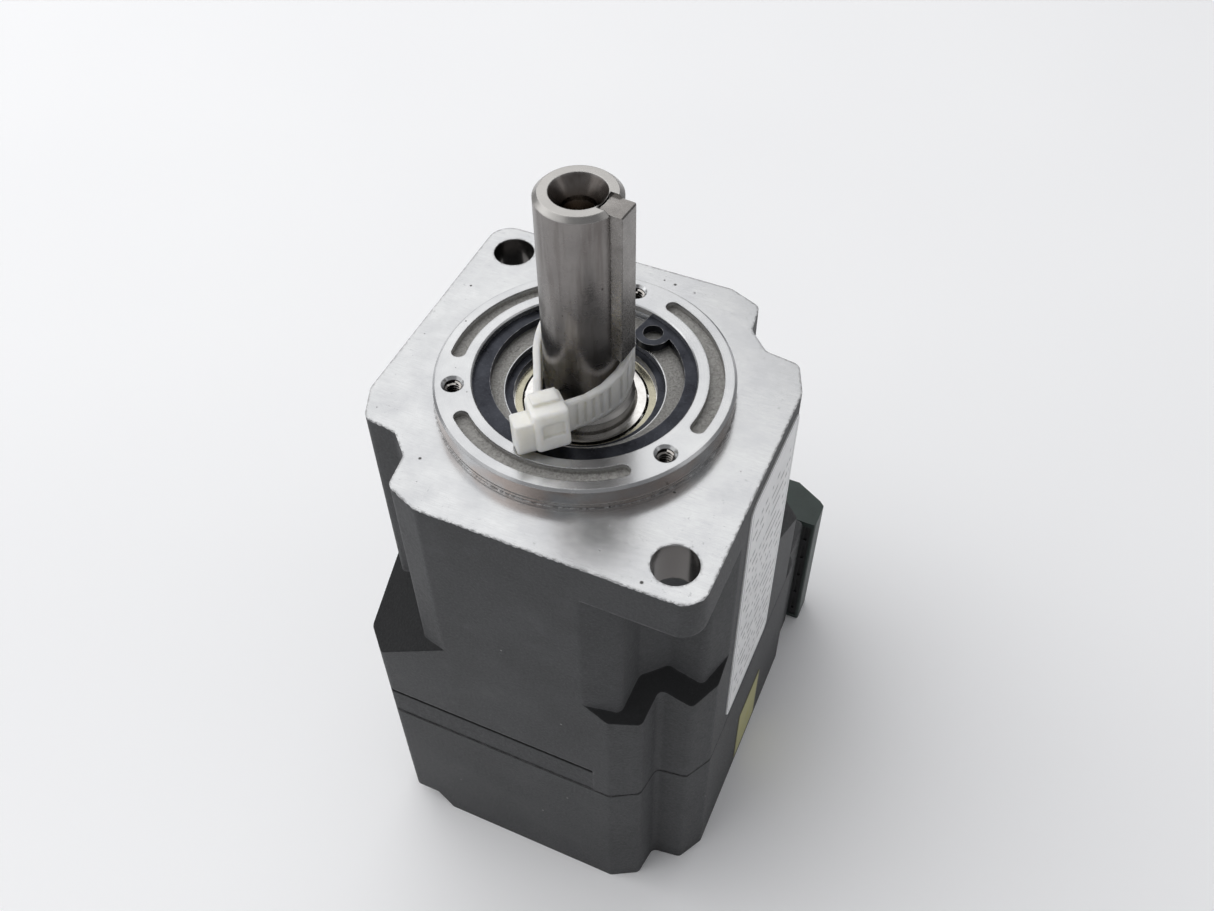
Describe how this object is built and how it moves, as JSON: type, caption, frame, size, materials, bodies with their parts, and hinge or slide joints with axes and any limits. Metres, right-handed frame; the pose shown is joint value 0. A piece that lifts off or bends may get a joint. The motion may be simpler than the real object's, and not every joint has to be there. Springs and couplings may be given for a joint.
{
  "type": "inline gear reducer",
  "caption": "Square-flanged inline planetary gear drive with a keyed output shaft, an integrated motor and a side-entry connector hood.",
  "frame": {"origin": "on the output shaft axis, in the machined mounting face of the flange (the foot of the pilot boss)", "axes": "+Z out of the unit along the output shaft; +Y towards the connector hood; +X is the side with the rating label"},
  "size_m": [0.0836, 0.107, 0.184],
  "materials": {
    "painted_casting": "textured charcoal paint, machined bright faces",
    "spring_steel": "blackened spring steel",
    "bearing_steel": "polished",
    "shield": "zinc yellow",
    "gear_steel": "hardened, oiled",
    "raw_casting": "machined",
    "black_screw": "black oxide",
    "seal_rubber": "matt",
    "lamination": "stacked laminations",
    "copper": "enamelled copper wire",
    "board_green": "solder mask",
    "zinc_screw": "zinc plated",
    "capacitor": "sleeved",
    "black_plastic": "moulded",
    "gold_pin": "plated",
    "hood_plastic": "dark green-grey moulded",
    "label_white": "coated paper",
    "label_yellow": "coated paper",
    "ground_steel": "ground",
    "nylon": "natural nylon",
    "magnet": "nickel plated",
    "bronze": "sintered bronze"
  },
  "bodies": {
    "housing": {"front_housing": "painted_casting", "pilot_circlip": "spring_steel", "bearing_circlip": "spring_steel", "front_bearing_outer_ring": "bearing_steel", "front_bearing_shields": "shield", "rear_bearing_outer_ring": "bearing_steel", "ring_gear": "gear_steel", "motor_flange": "raw_casting", "motor_flange_screws": "black_screw", "motor_shaft_seal": "seal_rubber", "motor_front_bearing_outer_ring": "bearing_steel", "stator_core": "lamination", "stator_windings": "copper", "housing_gasket": "seal_rubber", "rear_housing": "painted_casting", "motor_rear_bearing_outer_ring": "bearing_steel", "housing_screws": "black_screw", "control_board": "board_green", "board_screws": "zinc_screw", "board_capacitors": "capacitor", "encoder_chip": "black_plastic", "power_connector": "black_plastic", "connector_pins": "gold_pin", "bottom_cover": "painted_casting", "cover_screws": "black_screw", "connector_hood": "hood_plastic", "cable_entry_seals": "seal_rubber", "hood_screws": "black_screw", "rating_label": "label_white", "caution_sticker": "label_yellow"},
    "output": {"output_shaft": "ground_steel", "shaft_key": "ground_steel", "cable_tie": "nylon", "bearing_spacer": "ground_steel", "front_bearing_inner_ring": "bearing_steel", "front_bearing_balls": "bearing_steel", "rear_bearing_inner_ring": "bearing_steel", "rear_bearing_balls": "bearing_steel", "planet_pins": "gear_steel", "carrier_plate": "gear_steel", "carrier_screws": "black_screw"},
    "rotor": {"rotor_shaft": "ground_steel", "sun_gear": "gear_steel", "rotor_core": "lamination", "rotor_magnets": "magnet", "motor_front_bearing_inner_ring": "bearing_steel", "motor_front_bearing_balls": "bearing_steel", "motor_rear_bearing_inner_ring": "bearing_steel", "motor_rear_bearing_balls": "bearing_steel", "encoder_magnet": "magnet"},
    "planet_1": {"planet_gear_1": "gear_steel", "planet_bushing_1": "bronze"},
    "planet_2": {"planet_gear_2": "gear_steel", "planet_bushing_2": "bronze"},
    "planet_3": {"planet_gear_3": "gear_steel", "planet_bushing_3": "bronze"}
  },
  "joints": [
    {"name": "output_turn", "type": "hinge", "parent": "housing", "child": "output", "pos_m": [0, 0, 0], "axis": [0, 0, 1], "continuous": true},
    {"name": "rotor_turn", "type": "hinge", "parent": "housing", "child": "rotor", "pos_m": [0, 0, -0.09], "axis": [0, 0, 1], "continuous": true},
    {"name": "planet_1_turn", "type": "hinge", "parent": "output", "child": "planet_1", "pos_m": [0, 0.018, -0.0406], "axis": [0, 0, 1], "continuous": true},
    {"name": "planet_2_turn", "type": "hinge", "parent": "output", "child": "planet_2", "pos_m": [-0.01559, -0.009, -0.0406], "axis": [0, 0, 1], "continuous": true},
    {"name": "planet_3_turn", "type": "hinge", "parent": "output", "child": "planet_3", "pos_m": [0.01559, -0.009, -0.0406], "axis": [0, 0, 1], "continuous": true}
  ],
  "couplings": [
    {"joint": "rotor_turn", "follows": "output_turn", "ratio": 5},
    {"joint": "planet_1_turn", "follows": "output_turn", "ratio": -2.6667},
    {"joint": "planet_2_turn", "follows": "output_turn", "ratio": -2.6667},
    {"joint": "planet_3_turn", "follows": "output_turn", "ratio": -2.6667}
  ]
}
